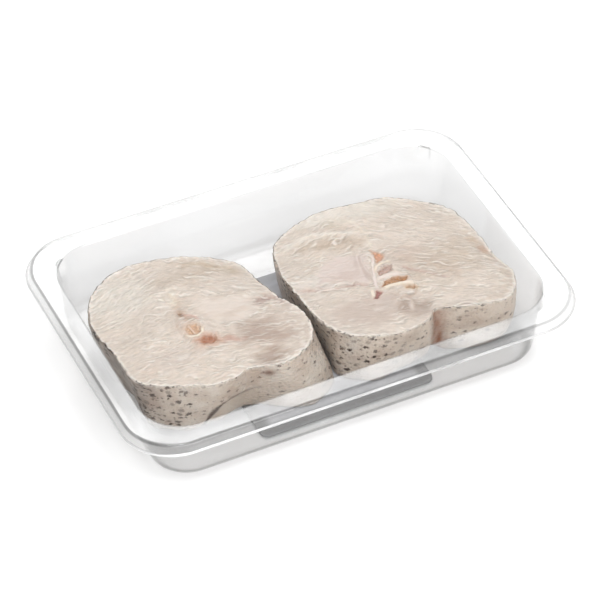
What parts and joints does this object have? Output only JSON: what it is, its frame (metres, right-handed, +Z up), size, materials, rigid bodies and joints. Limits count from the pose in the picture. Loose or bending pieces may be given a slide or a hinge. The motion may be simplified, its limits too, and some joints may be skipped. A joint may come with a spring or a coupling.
{
  "type": "tray of fish steaks",
  "caption": "Open clear rectangular tray with turned-down rim, holding raw round-cut white fish steaks with backbone and speckled skin, laid on a grey absorbent pad.",
  "frame": {"origin": "middle of the tray's underside, on the surface that it stands on", "axes": "+X along the tray's long side, from the left steak to the right one; +Y to the back; +Z up"},
  "size_m": [0.2358, 0.1608, 0.0365],
  "materials": {
    "clear_tray": "thin clear glossy plastic sheet",
    "absorbent_pad": "matte grey embossed non-woven pad",
    "raw_fish": "moist pale flesh with a grey-brown speckled skin",
    "backbone": "moist cream bone with pink and brown hollows"
  },
  "bodies": {
    "root": {"tray": "clear_tray", "absorbent_pad": "absorbent_pad", "steak_left": "raw_fish", "steak_right": "raw_fish", "backbone_left": "backbone", "backbone_right": "backbone"}
  },
  "joints": []
}
